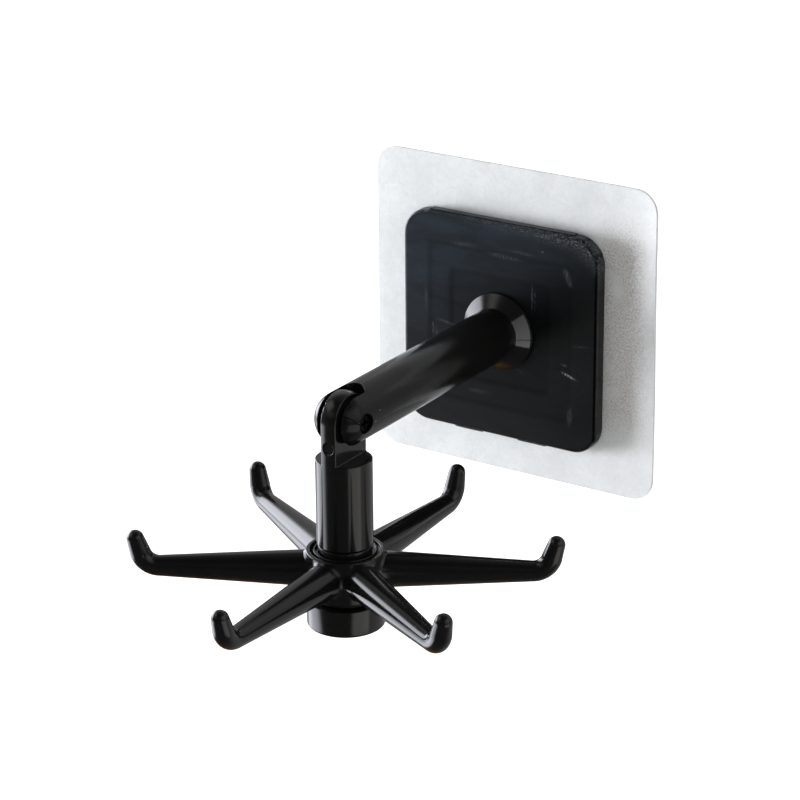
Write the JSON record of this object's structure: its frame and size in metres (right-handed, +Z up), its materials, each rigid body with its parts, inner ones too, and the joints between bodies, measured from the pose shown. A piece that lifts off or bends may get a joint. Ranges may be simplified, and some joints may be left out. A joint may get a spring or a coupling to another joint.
{
  "type": "utensil hook",
  "caption": "Wall utensil hook: a round arm on a square plate and adhesive sheet, with a folding post that carries a turning star of upturned hooks.",
  "frame": {"origin": "centre of the adhesive sheet's back face, on the wall", "axes": "+Y into the wall, so the arm stands out along -Y; +Z up; +X to the right as seen from the room"},
  "size_m": [0.0896, 0.1244, 0.0936],
  "materials": {
    "gloss_black": "glossy moulded ABS",
    "plate": "satin moulded ABS",
    "film": "frosted translucent film",
    "adhesive": "clear acrylic adhesive",
    "tape": "matt foam tape",
    "nylon": "matt nylon",
    "steel": "zinc plated"
  },
  "bodies": {
    "base": {"adhesive_layer": "adhesive", "carrier_film": "film", "mounting_tape": "tape", "back_plate": "plate", "base_plate": "plate", "arm_screw": "steel", "support_arm": "gloss_black", "hinge_screw": "steel", "hinge_nut": "steel", "friction_washer_near": "nylon", "friction_washer_far": "nylon"},
    "post": {"swivel_post": "gloss_black", "thrust_washer": "nylon", "end_cap": "gloss_black", "cap_screw": "steel"},
    "rotor": {"hook_rotor": "gloss_black"}
  },
  "joints": [
    {"name": "post_fold", "type": "hinge", "parent": "base", "child": "post", "pos_m": [-0.0022, -0.073, -0.0019], "axis": [-1, 0, 0], "range_deg": [-15, 165]},
    {"name": "rotor_spin", "type": "hinge", "parent": "post", "child": "rotor", "pos_m": [-0.0022, -0.073, -0.0397], "axis": [0, 0, 1], "continuous": true}
  ]
}
